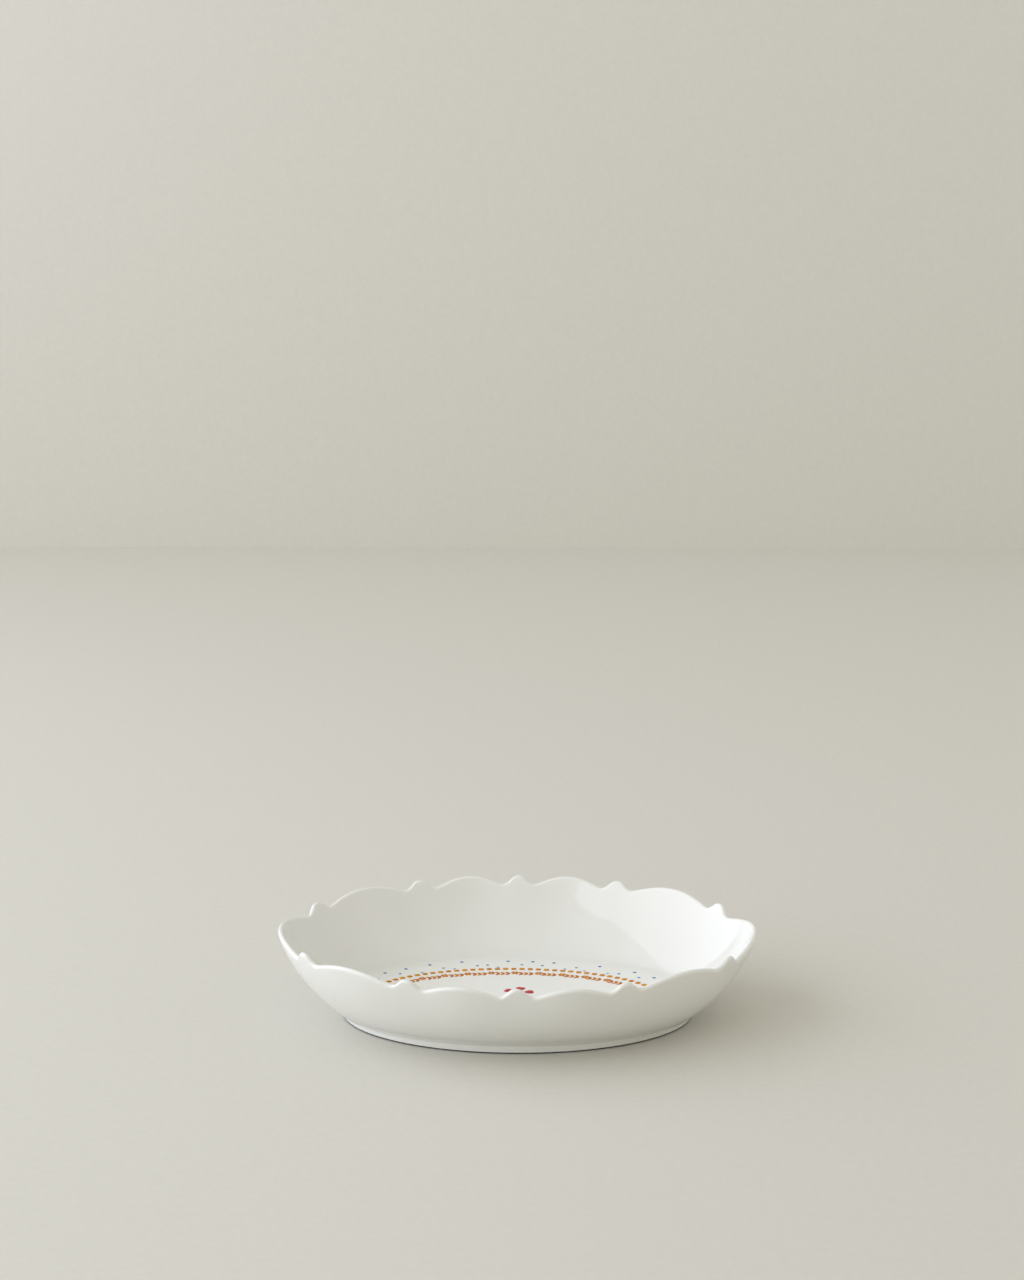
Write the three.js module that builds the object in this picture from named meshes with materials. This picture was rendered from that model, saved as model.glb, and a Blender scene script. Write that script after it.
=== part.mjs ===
// Oval porcelain serving plate: a deep flared dish with a scalloped rim, the standing ring under it
// and four printed transfers fired onto its well. Millimetres, +Z up. The origin is the middle of the
// surface that the plate stands on, with +X along the oval.
import * as THREE from "three";

// Standing ring, as it meets the table
const FOOT_LENGTH = 174.8;
const FOOT_WIDTH = 113.2;
const FOOT_HEIGHT = 4.2;
const FOOT_BASE = 4.8; // thickness of the ring
const FOOT_EDGE_RADIUS = 0.8;
const END_SHOULDER = 3.2; // from the ring's upright side out to the edge of its seat, at the oval's ends
const SIDE_SHOULDER = 0.3; // and at its sides

// Dish: floor, wall and lip
const FLOOR_THICKNESS = 4.2;
const WALL_THICKNESS = 2.8;
const WALL_RADIUS = 73.3; // of the wall's outer face, in section
const WALL_START_SLOPE = 34.5; // degrees above level, at the edge of the seat
const END_LEAN = 0.93; // how far the wall leans out at the ends for each millimetre at the sides
const WELL_FILLET = 6;
const RIM_RISE = 33.4; // from the seat to the line that the lobes and knobs rise from

// Scallops: lengths run along the rim's oval, and the side lobes take what the other two kinds leave
const END_LOBE_LENGTH = 79.4;
const END_LOBE_RISE = 7.4;
const END_LOBE_BULGE = 2.3; // outward swell of the wall at the rim
const DIAGONAL_LOBE_LENGTH = 63.2;
const DIAGONAL_LOBE_RISE = 7.5;
const SIDE_LOBE_RISE = 6.7;
const SIDE_LOBE_BULGE = 1.5;
const LOBE_FULLNESS = 1.15; // power of the sine arch at the ends and diagonals: a lower one is fuller
const SIDE_LOBE_FULLNESS = 1.5;
const KNOB_RISE = 7;
const KNOB_WIDTH = 5.3; // from the tip to where the knob has fallen to about a third of its rise
const KNOB_FULLNESS = 2.5; // power of the knob's bell: a higher one has a flatter top

// Printed transfers, set out from the line of stitches
const PRINT_THICKNESS = 0.1;
const STITCH_INSET = 16.1; // from the edge of the flat well to the middle of the stitches
const STITCH_BAND = 2.4;
const GARLAND_GAP = 2.1; // bare glaze between the stitches and the garland
const GARLAND_BAND = 6;
const DOTS_GAP = 0.8; // bare glaze between the stitches and the dots
const WELL_MARGIN = 0.4; // bare glaze left between the dots and the edge of the flat well
const BLOSSOM_RADIUS = 7.8;
const BLOSSOM_PETALS = 5;
const PETAL_DEPTH = 2.6;
const BLOSSOM_ALONG = 1.8; // from the middle of the other prints
const BLOSSOM_ACROSS = 4.9;
const BLOSSOM_TURN = 9; // degrees
const PRINT_SHIFT = -1.5; // the transfers were laid by hand, a little off the middle
const PRINT_TURN = -1.4; // degrees

// Fineness of the faceted surfaces
const KNOB_STEPS = 6;
const LOBE_STEPS = 6;
const WALL_STEPS = 6;
const LIP_STEPS = 3;
const FILLET_STEPS = 3;
const FOOT_STEPS = 96;
const EDGE_STEPS = 2;
const SHOULDER_STEPS = 2;
const PRINT_STEPS = 96;
const RIM_DIVISIONS = 720;

const QUARTER_TURN = Math.PI / 2;
const FULL_TURN = Math.PI * 2;

// Heights, and the arcs of the wall's section. A point there is told by its reach, which is how far it
// lies outside the edge of the ring's seat, and by its height.
const floorHeight = FOOT_HEIGHT + FLOOR_THICKNESS;
const rimHeight = FOOT_HEIGHT + RIM_RISE;
const startSlope = THREE.MathUtils.degToRad(WALL_START_SLOPE);
const wallCentre = {
  reach: -WALL_RADIUS * Math.sin(startSlope),
  height: FOOT_HEIGHT + WALL_RADIUS * Math.cos(startSlope),
};
const innerRadius = WALL_RADIUS - WALL_THICKNESS;
const middleRadius = WALL_RADIUS - WALL_THICKNESS / 2;

// The fillet's circle touches the flat well from above and the wall's inner arc from inside.
const filletHeight = floorHeight + WELL_FILLET;
const filletSlope = Math.acos((wallCentre.height - filletHeight) / (innerRadius - WELL_FILLET));
const filletCentre = {
  reach: wallCentre.reach + (innerRadius - WELL_FILLET) * Math.sin(filletSlope),
  height: filletHeight,
};

// A point on an arc of the section, where the section rises at the given slope
function arcPoint(centre, radius, slope) {
  return {
    reach: centre.reach + radius * Math.sin(slope),
    height: centre.height - radius * Math.cos(slope),
  };
}

// Points of an arc at equal steps of slope, both ends included
function arcPoints(centre, radius, fromSlope, toSlope, steps) {
  return Array.from({ length: steps + 1 }, (_, i) =>
    arcPoint(centre, radius, THREE.MathUtils.lerp(fromSlope, toSlope, i / steps)),
  );
}

// The slope of the wall's arc of the given radius at the given height
function slopeAt(radius, height) {
  return Math.acos((wallCentre.height - height) / radius);
}

// Values at equal steps from one value on, with the far end left out
function evenSteps(from, length, count) {
  return Array.from({ length: count }, (_, i) => from + (length * i) / count);
}

// The oval at the given reach, which grows a little less at the ends than at the sides
function ovalBeside(reach) {
  return {
    x: FOOT_LENGTH / 2 + END_SHOULDER + END_LEAN * reach,
    y: FOOT_WIDTH / 2 + SIDE_SHOULDER + reach,
  };
}

// The rim's oval, along which lobes and knobs are set out by length from the +X end
const rimAxes = ovalBeside(arcPoint(wallCentre, middleRadius, slopeAt(middleRadius, rimHeight)).reach);
const rimOval = new THREE.EllipseCurve(0, 0, rimAxes.x, rimAxes.y);
rimOval.arcLengthDivisions = RIM_DIVISIONS;
const rimLength = rimOval.getLength();

// One lobe after another round the rim, each from the knob where it starts
function layLobes() {
  const end = {
    length: END_LOBE_LENGTH,
    rise: END_LOBE_RISE,
    bulge: END_LOBE_BULGE,
    fullness: LOBE_FULLNESS,
  };
  const diagonal = {
    length: DIAGONAL_LOBE_LENGTH,
    rise: DIAGONAL_LOBE_RISE,
    bulge: 0,
    fullness: LOBE_FULLNESS,
  };
  const side = {
    length: rimLength / 4 - end.length / 2 - diagonal.length,
    rise: SIDE_LOBE_RISE,
    bulge: SIDE_LOBE_BULGE,
    fullness: SIDE_LOBE_FULLNESS,
  };
  const halfRound = [end, diagonal, side, side, diagonal];
  let start = -end.length / 2;
  return [...halfRound, ...halfRound].map((lobe) => {
    const laid = { ...lobe, start };
    start += lobe.length;
    return laid;
  });
}

// Sections stand close together across the knobs, whose flanks run out after two widths, and wider
// along the lobes.
function stationsAlong(lobe) {
  const flank = 2 * KNOB_WIDTH;
  const open = lobe.length - 2 * flank;
  const distances = [
    ...evenSteps(0, flank, KNOB_STEPS),
    ...evenSteps(flank, open, LOBE_STEPS),
    ...evenSteps(flank + open, flank, KNOB_STEPS),
  ];
  return distances.map((along) => rimStation(lobe, along));
}

// At a station: its angle on the oval, the height of the lip and how far the lobe bulges out there.
// A lobe is an arch of a sine, and a knob is a bell that falls off with the distance from its tip.
function rimStation(lobe, along) {
  const around = THREE.MathUtils.euclideanModulo((lobe.start + along) / rimLength, 1);
  const arch = Math.sin((Math.PI * along) / lobe.length);
  const bell = (distance) => Math.exp(-((distance / KNOB_WIDTH) ** KNOB_FULLNESS));
  const knob = bell(along) + bell(lobe.length - along);
  return {
    angle: FULL_TURN * rimOval.getUtoTmapping(around),
    lipHeight: rimHeight + lobe.rise * arch ** lobe.fullness + KNOB_RISE * knob,
    bulge: lobe.bulge * arch ** 2,
  };
}

// Carries sections round the plate's oval, one at each angle. The lathe gives the faces, with a radius
// of 0 where the surface closes on the axis and 1 elsewhere, and each of its points is then put in place.
function sweepOval(sections, angles) {
  const rows = sections[0].length;
  const profile = sections[0].map((point, row) => new THREE.Vector2(point.onAxis ? 0 : 1, row));
  const geometry = new THREE.LatheGeometry(profile, angles.length);
  const position = geometry.getAttribute("position");
  for (let turn = 0; turn <= angles.length; turn++) {
    const angle = angles[turn % angles.length];
    sections[turn % angles.length].forEach((point, row) => {
      const oval = point.onAxis ? { x: 0, y: 0 } : ovalBeside(point.reach);
      const index = turn * rows + row;
      position.setXYZ(index, oval.x * Math.cos(angle), oval.y * Math.sin(angle), point.height);
    });
  }
  geometry.deleteAttribute("normal");
  geometry.deleteAttribute("uv");
  return geometry;
}

// Section of the dish: from the middle of the underside out to the edge of the seat, up the wall's
// outer face, round the lip by its widest and its top, down the inner face and the fillet, and back
// across the flat well.
function dishSection({ lipHeight, bulge }) {
  const lipRadius = WALL_THICKNESS / 2;
  const lipSlope = slopeAt(middleRadius, lipHeight - lipRadius);
  const lipCentre = arcPoint(wallCentre, middleRadius, lipSlope);
  const outer = arcPoints(wallCentre, WALL_RADIUS, startSlope, lipSlope, WALL_STEPS);
  const lipOutside = arcPoints(lipCentre, lipRadius, QUARTER_TURN, Math.PI, LIP_STEPS);
  const lipInside = arcPoints(lipCentre, lipRadius, Math.PI, lipSlope + Math.PI, LIP_STEPS);
  const inner = arcPoints(wallCentre, innerRadius, lipSlope, filletSlope, WALL_STEPS);
  const fillet = arcPoints(filletCentre, WELL_FILLET, filletSlope, 0, FILLET_STEPS);
  const wall = [...outer, ...lipOutside, ...lipInside.slice(1, -1), ...inner, ...fillet.slice(1)];
  const bulged = wall.map(({ reach, height }) => ({
    reach: reach + bulge * THREE.MathUtils.smoothstep(height, floorHeight, rimHeight),
    height,
  }));
  return [
    { onAxis: true, height: FOOT_HEIGHT },
    ...bulged,
    { onAxis: true, height: floorHeight },
  ];
}

function plateBody() {
  const stations = layLobes().flatMap(stationsAlong);
  return sweepOval(
    stations.map(dishSection),
    stations.map((station) => station.angle),
  );
}

// The ring's side stands upright on an oval of its own. At the given angle, this is the reach at which
// the plate's ovals cross it: the larger root of a quadratic.
function sideReach(angle) {
  const seat = ovalBeside(0);
  const along = (2 * Math.cos(angle)) / FOOT_LENGTH;
  const across = (2 * Math.sin(angle)) / FOOT_WIDTH;
  const square = (END_LEAN * along) ** 2 + across ** 2;
  const cross = END_LEAN * seat.x * along ** 2 + seat.y * across ** 2;
  const rest = (seat.x * along) ** 2 + (seat.y * across) ** 2 - 1;
  return (Math.sqrt(cross ** 2 - square * rest) - cross) / square;
}

// Section of the ring: flat underneath with rounded edges, an upright outer side up to the crease, a
// shoulder that carries the wall's arc on down from the seat, the flat seat and an upright inner side
function ringSection(angle) {
  const side = sideReach(angle);
  const creaseSlope = Math.asin((side - wallCentre.reach) / WALL_RADIUS);
  const outerEdge = { reach: side - FOOT_EDGE_RADIUS, height: FOOT_EDGE_RADIUS };
  const innerEdge = { reach: side - FOOT_BASE + FOOT_EDGE_RADIUS, height: FOOT_EDGE_RADIUS };
  const section = [
    ...arcPoints(outerEdge, FOOT_EDGE_RADIUS, 0, QUARTER_TURN, EDGE_STEPS),
    ...arcPoints(wallCentre, WALL_RADIUS, creaseSlope, startSlope, SHOULDER_STEPS),
    { reach: side - FOOT_BASE, height: FOOT_HEIGHT },
    ...arcPoints(innerEdge, FOOT_EDGE_RADIUS, -QUARTER_TURN, 0, EDGE_STEPS),
  ];
  return [...section, section[0]];
}

function footRing() {
  const angles = evenSteps(0, FULL_TURN, FOOT_STEPS);
  return sweepOval(angles.map(ringSection), angles);
}

// A film of print from its outline, flat on the well
function printFilm(outline, hole) {
  const shape = new THREE.Shape(outline);
  if (hole) {
    shape.holes.push(new THREE.Path(hole));
  }
  return new THREE.ExtrudeGeometry(shape, { depth: PRINT_THICKNESS, bevelEnabled: false });
}

// Points round a closed outline whose radii along X and Y are given for each angle
function roundOutline(radiiAt) {
  return evenSteps(0, FULL_TURN, PRINT_STEPS).map((angle) => {
    const radii = radiiAt(angle);
    return new THREE.Vector2(radii.x * Math.cos(angle), radii.y * Math.sin(angle));
  });
}

// A film in the form of a band between two ovals
function printBand(inner, outer) {
  return printFilm(
    roundOutline(() => outer),
    roundOutline(() => inner),
  );
}

// A film in the form of an open flower: a round whose radius swells once for each petal
function blossomFilm() {
  return printFilm(
    roundOutline((angle) => {
      const swell = Math.abs(Math.cos((BLOSSOM_PETALS * angle) / 2));
      const radius = BLOSSOM_RADIUS - PETAL_DEPTH * (1 - swell);
      return { x: radius, y: radius };
    }),
  );
}

// The ovals that the prints follow. The dots keep off the edge of the flat well, however far the
// transfers are shifted and turned.
const well = ovalBeside(filletCentre.reach);
const stitches = { x: well.x - STITCH_INSET, y: well.y - STITCH_INSET };
const besideStitches = (offset) => ({ x: stitches.x + offset, y: stitches.y + offset });
const printTurn = THREE.MathUtils.degToRad(PRINT_TURN);
const printDrift = Math.abs(PRINT_SHIFT) + Math.abs(printTurn) * (well.x - well.y);
const dotsEdge = { x: well.x - WELL_MARGIN - printDrift, y: well.y - WELL_MARGIN - printDrift };
const halfStitch = STITCH_BAND / 2;
const garlandEdge = -halfStitch - GARLAND_GAP;

const finishes = {
  glaze: new THREE.MeshStandardMaterial({ color: 0xf1f0eb, roughness: 0.15, metalness: 0 }),
  foot: new THREE.MeshStandardMaterial({ color: 0xe6e2d8, roughness: 0.5, metalness: 0 }),
  blue: new THREE.MeshStandardMaterial({ color: 0x7f9fc4, roughness: 0.2, metalness: 0 }),
  orange: new THREE.MeshStandardMaterial({ color: 0xcb7413, roughness: 0.2, metalness: 0 }),
  rust: new THREE.MeshStandardMaterial({ color: 0xc05a26, roughness: 0.2, metalness: 0 }),
  red: new THREE.MeshStandardMaterial({ color: 0xb9333a, roughness: 0.2, metalness: 0 }),
};

function piece(name, geometry, material) {
  const mesh = new THREE.Mesh(geometry, material);
  mesh.name = name;
  return mesh;
}

const blossom = piece("centre_blossom", blossomFilm(), finishes.red);
blossom.position.set(BLOSSOM_ALONG, BLOSSOM_ACROSS, 0);
blossom.rotation.z = THREE.MathUtils.degToRad(BLOSSOM_TURN);

const prints = new THREE.Group();
prints.position.set(PRINT_SHIFT, 0, floorHeight);
prints.rotation.z = printTurn;
prints.add(
  piece("dot_border", printBand(besideStitches(halfStitch + DOTS_GAP), dotsEdge), finishes.blue),
  piece("stitch_border", printBand(besideStitches(-halfStitch), besideStitches(halfStitch)), finishes.orange),
  piece(
    "leaf_garland",
    printBand(besideStitches(garlandEdge - GARLAND_BAND), besideStitches(garlandEdge)),
    finishes.rust,
  ),
  blossom,
);

const plate = new THREE.Group();
plate.add(
  piece("plate_body", plateBody(), finishes.glaze),
  piece("foot_ring", footRing(), finishes.foot),
  prints,
);

export default plate;
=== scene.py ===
import math

import bpy
import numpy as np
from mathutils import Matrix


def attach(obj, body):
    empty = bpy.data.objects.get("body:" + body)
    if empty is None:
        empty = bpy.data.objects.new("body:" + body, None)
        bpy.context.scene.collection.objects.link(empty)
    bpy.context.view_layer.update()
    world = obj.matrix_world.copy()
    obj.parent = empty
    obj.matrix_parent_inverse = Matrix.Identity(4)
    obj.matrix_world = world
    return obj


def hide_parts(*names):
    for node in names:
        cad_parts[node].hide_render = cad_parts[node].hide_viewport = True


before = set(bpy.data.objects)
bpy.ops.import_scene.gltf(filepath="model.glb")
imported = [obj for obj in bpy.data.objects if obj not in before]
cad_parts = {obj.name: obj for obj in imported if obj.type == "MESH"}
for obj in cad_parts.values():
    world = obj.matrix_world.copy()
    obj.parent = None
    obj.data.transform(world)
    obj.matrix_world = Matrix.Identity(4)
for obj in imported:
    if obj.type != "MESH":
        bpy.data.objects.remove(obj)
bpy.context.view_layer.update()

bl_info = {
    "name": "Oval Serving Plate",
    "version": (1, 0, 0),
    "blender": (4, 5, 0),
    "location": "View3D > Sidebar > Plate",
    "description": "Makes an oval porcelain plate with a scalloped rim and fired prints, and its stage",
    "category": "Add Mesh",
}

MM = 0.001
FULL_TURN = 2 * math.pi
QUARTER_TURN = math.pi / 2
BODY = "root"
METRE_PLACES = 5
FACING_RIGHT = (QUARTER_TURN, 0.0, -QUARTER_TURN)
FACING_LEFT = (QUARTER_TURN, 0.0, QUARTER_TURN)
FACING_DOWN = (0.0, 0.0, 0.0)

# Fineness of the surfaces
RIM_STATIONS = 760
RING_STATIONS = 480
FLAT_ROWS = 5
CREASE_ROWS = 6
WALL_ROWS = 30
SHOULDER_ROWS = 4
LIP_ROWS = 12
FILLET_ROWS = 9
EDGE_ROWS = 5
OVAL_DIVISIONS = 3600
PAD_POINTS = 12
PETAL_POINTS = 32
SHARP_ANGLE = math.radians(30)

# How the prints vary: steps of the even scatters, and shares of sizes and tones
ALONG_SCATTER = 0.755
ACROSS_SCATTER = 0.618
TONE_SCATTER = 0.414
STITCH_CHANGE = 0.12
DOT_SHIFT = 0.3
DOT_FADE = 0.3
FLOWER_PETAL = np.array([1.45, 1.15])
PETAL_TONES = (0.35, 0.75)
LEAF_START = 0.55
LEAF_TONES = (0.5, 0.15)
EYE_SHARE = 0.4
PETAL_TONE = 0.3
EYE_TONE = 0.9

# Letters of the far, middle and near rows of dots, and the rows of one round of dots in their order
DOT_ROWS = "FMN"
DOT_CYCLE = "MNFNMNFMFMFNMMFNMFNFMF"

# Outlines of the pads of enamel, and the sizes and heights of a pad's rings, as shares of the pad
LEAF_POINT = 0.35
PETAL_FULLNESS = 0.38
NOTCH_DEPTH = 0.13
NOTCH_SPREAD = 0.06
PAD_RING_SIZES = np.array([1.0, 1.0, 0.8])
PAD_RING_HEIGHTS = np.array([0.0, 0.6, 1.0])

# Noise in the finishes: how it is layered, and the spans of it that are used
SOFT_DETAIL = 2.0
FINE_DETAIL = 3.0
NOISE_ROUGHNESS = 0.5
NOISE_SPAN = (0.3, 0.7)
CLOUD_SPAN = (0.35, 0.65)
WHOLE = (0.0, 1.0)
FADING = (1.0, 0.0)

# Glaze: grains to the metre, shares of the deeper tone, and roughness
CLOUD_GRAINS = 22.0
CLOUD_SHARE = 0.35
POOL_SHARE = 0.65
GLOSS_GRAINS = 60.0
GLAZE_ROUGHNESS = (0.05, 0.10)
GLAZE_IOR = 1.42

# Grains to the metre, strength and height of the waves in the glaze
SLOW_WAVES = (45.0, 0.12, 0.6 * MM)
ORANGE_PEEL = (900.0, 0.10, 0.04 * MM)

# The ring's lower edge: how ragged its dark line of painted contact shadow is, and where the line and the
# ground base fade
EDGE_GRAINS = 700.0
EDGE_RAGGED = 0.25 * MM
EDGE_FADE = (0.75 * MM, 1.0 * MM)
GROUND_FADE = (0.02 * MM, 0.10 * MM)
BARE_ROUGHNESS = 0.75

# Enamel and the plain surfaces of the stage
MOTTLE_GRAINS = 1500.0
MOTTLE = (-0.15, 0.15)
ENAMEL_GRAINS = 400.0
ENAMEL_ROUGHNESS = (0.30, 0.42)
ENAMEL_IOR = 1.5
ENAMEL_GLOSS = 0.06
FLOOR_GRAINS = 260.0
FLOOR_SHADE = 0.97
FLOOR_ROUGHNESS = 0.8
FLOOR_GLOSS = 0.2
FLOOR_SINK = 0.05 * MM

# Sockets of Blender's Map Range node, and of its Mix node when it mixes colours
SPAN_SOCKETS = ("Value", "From Min", "From Max", "To Min", "To Max")
MIX_FACTOR = 0
MIX_FIRST = 6
MIX_SECOND = 7
MIX_RESULT = 2


def offset(name, description, millimetres, **limits):
    """A length that a user may change, also to a negative one, given in millimetres and kept in metres."""
    return bpy.props.FloatProperty(
        name=name,
        description=description,
        default=millimetres * MM,
        precision=METRE_PLACES,
        unit="LENGTH",
        **limits,
    )


def length(name, description, millimetres):
    """A length that is never negative."""
    return offset(name, description, millimetres, min=0.0)


def angle(name, description, degrees):
    """An angle, given in degrees and kept in radians."""
    return bpy.props.FloatProperty(
        name=name, description=description, default=math.radians(degrees), subtype="ANGLE"
    )


def ratio(name, description, value):
    """A plain number, such as a slope or a power."""
    return bpy.props.FloatProperty(name=name, description=description, default=value, min=0.0)


def count(name, description, number):
    """A number of like things."""
    return bpy.props.IntProperty(name=name, description=description, default=number, min=1)


def colour(name, description, red, green, blue):
    """A colour, in linear light."""
    return bpy.props.FloatVectorProperty(
        name=name,
        description=description,
        default=(red, green, blue, 1.0),
        size=4,
        min=0.0,
        max=1.0,
        subtype="COLOR",
    )


class PlateShape(bpy.types.PropertyGroup):
    """Sizes of the dish and its standing ring."""

    foot_length: length("Foot length", "Length of the standing ring where it meets the table", 174.8)
    foot_width: length("Foot width", "Width of the standing ring where it meets the table", 113.2)
    foot_height: length("Foot height", "From the table to the ring's seat under the dish", 4.2)
    foot_base: length("Foot base", "Thickness of the ring", 4.8)
    foot_edge: length("Foot edge", "Radius of the ring's lower edges", 0.8)
    foot_cove: length("Foot cove", "Hollow fillet where the ring's inside meets the dish", 1.4)
    end_shoulder: length("End shoulder", "From the ring's side out to its seat's edge, at the ends", 3.2)
    side_shoulder: length("Side shoulder", "From the ring's side out to its seat's edge, at the sides", 0.3)
    crease_fill: ratio("Crease fill", "Share of the ring's side and shoulder that the glaze fills", 0.45)
    floor_thickness: length("Floor", "Thickness of the dish's flat floor", 4.2)
    wall_thickness: length("Wall", "Thickness of the wall and its lip", 2.8)
    wall_radius: length("Wall radius", "Radius of the wall's outer face in section", 73.3)
    wall_slope: angle("Wall slope", "Slope of the wall above level at the edge of the seat", 34.5)
    end_lean: ratio("End lean", "How far the wall leans out at the ends for each unit at the sides", 0.93)
    well_fillet: length("Well fillet", "Radius where the flat well turns up into the wall", 6.0)
    rim_rise: length("Rim rise", "From the seat to the line that the lobes rise from", 33.4)
    end_lobe_length: length("End lobe", "Length of each end's lobe along the rim", 79.4)
    end_lobe_rise: length("End lobe rise", "Height of each end's lobe", 7.4)
    end_lobe_bulge: length("End lobe bulge", "Outward swell of the wall under each end's lobe", 2.3)
    diagonal_lobe_length: length("Diagonal lobe", "Length of each diagonal lobe along the rim", 63.2)
    diagonal_lobe_rise: length("Diagonal lobe rise", "Height of each diagonal lobe", 7.5)
    side_lobe_rise: length("Side lobe rise", "Height of each side lobe", 6.7)
    side_lobe_bulge: length("Side lobe bulge", "Outward swell of the wall under each side lobe", 1.5)
    lobe_fullness: ratio("Lobe fullness", "Power of the sine arch of the end and diagonal lobes", 1.15)
    side_lobe_fullness: ratio("Side lobe fullness", "Power of the sine arch of the side lobes", 1.5)
    knob_rise: length("Knob rise", "Height of the knobs between the lobes", 7.02)
    knob_width: length("Knob width", "From a knob's tip to where it has fallen to a third", 5.3)
    knob_fullness: ratio("Knob fullness", "Power of the knob's bell: a higher one has a flatter top", 2.5)
    lip_softness: length("Lip softness", "Spread of the rounding where the knobs meet the lobes", 1.0)
    lip_sag: length("Lip sag", "How much lower the lip lies where the rim sank in firing", 1.3)
    sag_start: angle("Sag start", "Angle round the plate where the sunken stretch begins", -101)
    sag_end: angle("Sag end", "Angle round the plate where the sunken stretch ends", -8)
    sag_fade: angle("Sag fade", "Angle over which the lip sinks and rises again", 24)


class PrintLayout(bpy.types.PropertyGroup):
    """Sizes and places of the fired prints on the flat well."""

    shift: offset("Shift", "How far the prints lie off the middle, along the oval", -1.5)
    turn: angle("Turn", "How far the prints are turned on the plate", -1.4)
    thickness: length("Thickness", "Thickness of the fired enamel", 0.1)
    stitch_inset: length("Stitch inset", "From the flat well's edge to the middle of the stitches", 16.1)
    stitches: count("Stitches", "Dashes in the stitch border", 86)
    stitch_start: ratio("Stitch start", "Where the first dash lies, as a share of the pitch", 0.887)
    stitch_length: length("Stitch length", "Length of a dash", 2.8)
    stitch_width: length("Stitch width", "Width of a dash", 3.0)
    garland_inset: length("Garland inset", "From the stitches in to the middles of the flowers", 5.9)
    garland_units: count("Garland units", "Flowers in the garland, each with its leaves", 27)
    garland_start: ratio("Garland start", "Where the first flower lies, as a share of the pitch", 0.819)
    flower_ring: length("Flower ring", "Radius of the ring that a garland flower's petals lie on", 1.35)
    flower_petals: count("Flower petals", "Petals of a garland flower", 6)
    leaf_length: length("Leaf length", "Length of a garland leaf", 3.0)
    leaf_width: length("Leaf width", "Width of a garland leaf", 1.58)
    leaf_step: length("Leaf step", "From one pair of leaves to the next", 2.6)
    leaf_drop: length("Leaf drop", "How far the leaves hang inward of the flowers", 1.0)
    leaf_pairs: count("Leaf pairs", "Pairs of leaves after each flower", 3)
    leaf_splay: angle("Leaf splay", "Angle between a leaf and the garland's line", 45)
    dot_rounds: count("Dot rounds", "Times that the cycle of dots repeats round the well", 3)
    dot_start: ratio("Dot start", "Where the first dot lies, in steps between the dots", 7.2)
    dot_size: length("Dot size", "Diameter of the largest dots", 1.9)
    dots_near: length("Near dots", "From the stitches out to the near row of dots", 3.0)
    dots_middle: length("Middle dots", "From the stitches out to the middle row of dots", 5.9)
    dots_far: length("Far dots", "From the stitches out to the far row of dots", 11.6)
    dots_stray: length("Dot stray", "How far a dot may lie off its row", 0.7)
    blossom_x: offset("Blossom along", "Middle of the blossom along the oval", 1.8)
    blossom_y: offset("Blossom across", "Middle of the blossom across the oval", 5.4)
    blossom_radius: length("Blossom radius", "From the blossom's middle to its petals' middles", 5.4)
    blossom_petals: count("Blossom petals", "Petals of the centre blossom", 5)
    blossom_turn: angle("Blossom turn", "Turn of the first petal", 9)
    petal_length: length("Petal length", "Length of a petal of the blossom", 4.9)
    petal_width: length("Petal width", "Width of a petal of the blossom", 4.5)


class PlateColours(bpy.types.PropertyGroup):
    """Colours of the glaze, the bare clay, the painted shade line at the ring's lower edge, the enamels and
    the stage, in linear light.
    """

    glaze: colour("Glaze", "Warm white porcelain glaze", 0.865, 0.865, 0.84)
    pooled: colour("Pooled glaze", "Glaze where it lies thicker, in hollows", 0.81, 0.82, 0.785)
    clay: colour("Bare clay", "Ground and unglazed base of the ring", 0.55, 0.53, 0.47)
    # Painted shade: this dark line stands in for the contact shadow where the ring's lower edge meets the
    # table
    edge: colour("Dark edge", "Dark line round the ring's lower edge", 0.03, 0.03, 0.045)
    stitch: colour("Stitch orange", "Darker enamel of the stitch border", 0.54, 0.195, 0.0)
    amber: colour("Stitch amber", "Lighter enamel of the stitch border", 0.66, 0.29, 0.0)
    rust: colour("Garland rust", "Darker enamel of the garland", 0.46, 0.115, 0.0)
    coral: colour("Garland coral", "Lighter enamel of the garland", 0.70, 0.26, 0.0)
    blue: colour("Dot blue", "Darker enamel of the dots", 0.04, 0.19, 0.42)
    sky: colour("Dot sky", "Paler enamel of the dots", 0.24, 0.50, 0.68)
    red: colour("Blossom red", "Enamel of the centre blossom", 0.46, 0.032, 0.042)
    rose: colour("Blossom rose", "Paler enamel of the blossom", 0.62, 0.10, 0.11)
    floor: colour("Floor", "Plain floor", 0.70, 0.685, 0.63)
    backdrop: colour("Backdrop", "Plain wall behind the floor", 0.69, 0.67, 0.612)


def arc(centre, radius, slope):
    """Reach and height where an arc of the section rises at the given slope: sine out, cosine down."""
    return np.stack([centre[0] + radius * np.sin(slope), centre[1] - radius * np.cos(slope)], axis=-1)


def steps(first, last, rows):
    """Rows of values at equal steps from first to last, both included, for one or for many stations."""
    share = np.linspace(0.0, 1.0, rows)
    return np.asarray(first)[..., None] * (1 - share) + np.asarray(last)[..., None] * share


def rounded_corner(start, corner, end, rows):
    """A quadratic curve that leaves start towards the corner and comes to end from it."""
    share = np.linspace(0.0, 1.0, rows)[:, None]
    return (1 - share) ** 2 * start + 2 * share * (1 - share) * corner + share**2 * end


def smoothstep(value, low, high):
    """0 below low, 1 above high and a smooth cubic between."""
    share = np.clip((value - low) / (high - low), 0.0, 1.0)
    return share * share * (3 - 2 * share)


def full_circle(points):
    """Angles at equal steps round a full turn."""
    return np.arange(points) * FULL_TURN / points


def heading_vectors(headings):
    """Flat vectors of length one along the given headings."""
    return np.stack([np.cos(headings), np.sin(headings)], axis=-1)


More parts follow.
